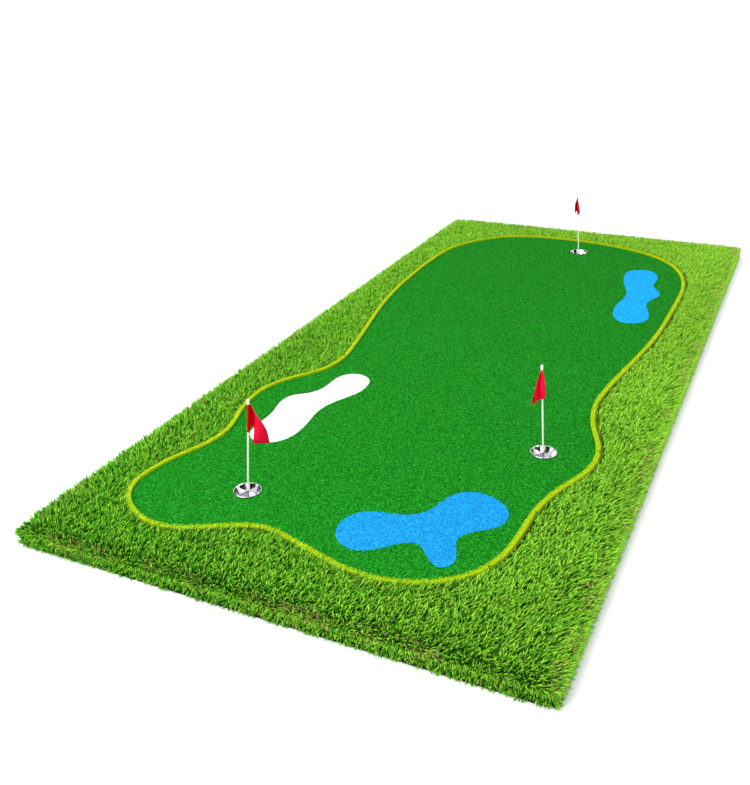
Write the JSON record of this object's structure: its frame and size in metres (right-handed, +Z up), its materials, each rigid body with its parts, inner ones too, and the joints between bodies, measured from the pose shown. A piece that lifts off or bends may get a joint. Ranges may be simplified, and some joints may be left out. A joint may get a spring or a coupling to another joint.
{
  "type": "practice putting mat",
  "caption": "Foam-backed putting mat with a short-pile green in a raised rough border, pond and bunker inlays, metal cups and lift-out flagsticks.",
  "frame": {"origin": "on the floor under the middle of the mat", "axes": "+Y along the mat's length from the near end with the large pond to the far end, +X to the right, +Z up"},
  "size_m": [2, 4.5, 0.4461],
  "materials": {
    "foam": "matte closed-cell EVA foam",
    "backing": "matte dimpled rubber",
    "green_pile": "short dense synthetic pile",
    "edging_pile": "bright yellow-green synthetic pile",
    "rough_pile": "long synthetic grass blades with brown thatch",
    "pond_pile": "blue short pile",
    "bunker_pile": "white short pile",
    "cup_metal": "polished stainless steel",
    "socket_metal": "turned steel",
    "pole_enamel": "gloss white enamel on a steel rod",
    "cap_plastic": "gloss white plastic",
    "tube_plastic": "white plastic tube",
    "flag_cloth": "red nylon cloth"
  },
  "bodies": {
    "root": {"anti_slip_backing": "backing", "foam_base_near": "foam", "foam_base_middle": "foam", "foam_base_far": "foam", "green_turf": "green_pile", "edging_strip": "edging_pile", "rough_turf_left": "rough_pile", "rough_turf_right": "rough_pile", "border_turf_near": "rough_pile", "border_turf_far": "rough_pile", "border_turf_left": "rough_pile", "border_turf_right": "rough_pile", "pond_large": "pond_pile", "pond_small": "pond_pile", "bunker": "bunker_pile", "cup_1": "cup_metal", "cup_socket_1": "socket_metal", "cup_2": "cup_metal", "cup_socket_2": "socket_metal", "cup_3": "cup_metal", "cup_socket_3": "socket_metal"},
    "flagstick_1": {"flag_pole_1": "pole_enamel", "pole_foot_1": "socket_metal", "pole_cap_1": "cap_plastic"},
    "flag_1": {"flag_tube_1": "tube_plastic", "flag_cloth_1": "flag_cloth"},
    "flagstick_2": {"flag_pole_2": "pole_enamel", "pole_foot_2": "socket_metal", "pole_cap_2": "cap_plastic"},
    "flag_2": {"flag_tube_2": "tube_plastic", "flag_cloth_2": "flag_cloth"},
    "flagstick_3": {"flag_pole_3": "pole_enamel", "pole_foot_3": "socket_metal", "pole_cap_3": "cap_plastic"},
    "flag_3": {"flag_tube_3": "tube_plastic", "flag_cloth_3": "flag_cloth"}
  },
  "joints": [
    {"name": "flagstick_1_lift", "type": "slide", "parent": "root", "child": "flagstick_1", "axis": [0.0643, 0.045, 0.9969], "range_m": [0, 0.45]},
    {"name": "flag_1_swivel", "type": "hinge", "parent": "flagstick_1", "child": "flag_1", "pos_m": [-0.35079, -1.66515, 0.36098], "axis": [0.0643, 0.045, 0.9969], "continuous": true},
    {"name": "flagstick_2_lift", "type": "slide", "parent": "root", "child": "flagstick_2", "axis": [-0.0677, -0.0169, 0.9976], "range_m": [0, 0.45]},
    {"name": "flag_2_swivel", "type": "hinge", "parent": "flagstick_2", "child": "flag_2", "pos_m": [0.55766, -0.95157, 0.3612], "axis": [-0.0677, -0.0169, 0.9976], "continuous": true},
    {"name": "flagstick_3_lift", "type": "slide", "parent": "root", "child": "flagstick_3", "axis": [-0.0849, -0.0196, 0.9962], "range_m": [0, 0.45]},
    {"name": "flag_3_swivel", "type": "hinge", "parent": "flagstick_3", "child": "flag_3", "pos_m": [0.00598, 1.77553, 0.36074], "axis": [-0.0849, -0.0196, 0.9962], "continuous": true}
  ]
}
